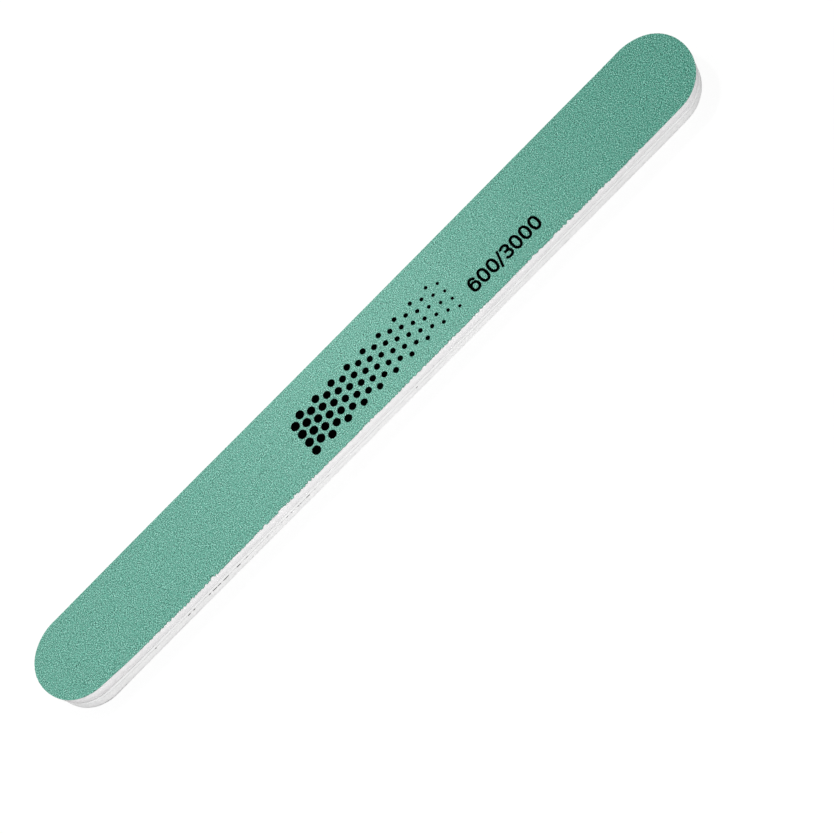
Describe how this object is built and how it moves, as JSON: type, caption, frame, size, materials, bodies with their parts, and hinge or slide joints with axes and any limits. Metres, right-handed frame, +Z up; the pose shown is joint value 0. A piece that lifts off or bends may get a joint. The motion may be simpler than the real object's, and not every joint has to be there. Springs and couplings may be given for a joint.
{
  "type": "nail buffer",
  "caption": "Slim flat board with round ends: green abrasive on one face, white polishing film on the other, foam round a stiff core between them.",
  "frame": {"origin": "middle of the white face, which the board lies on; the lowest point is at Z = 0", "axes": "+X along the board's length, +Y across its width, +Z up through the sheets towards the green face"},
  "size_m": [0.178, 0.019, 0.0058],
  "materials": {
    "polishing_coat": "satin",
    "white_film": "satin",
    "adhesive": "satin",
    "foam": "matte",
    "core": "satin",
    "green_film": "satin",
    "green_grit": "matte"
  },
  "bodies": {
    "root": {"white_polishing_coat": "polishing_coat", "white_backing_film": "white_film", "lower_face_adhesive": "adhesive", "lower_foam": "foam", "lower_core_tape": "adhesive", "core_splint": "core", "upper_core_tape": "adhesive", "upper_foam": "foam", "upper_face_adhesive": "adhesive", "green_backing_film": "green_film", "green_grit_coat": "green_grit"}
  },
  "joints": []
}
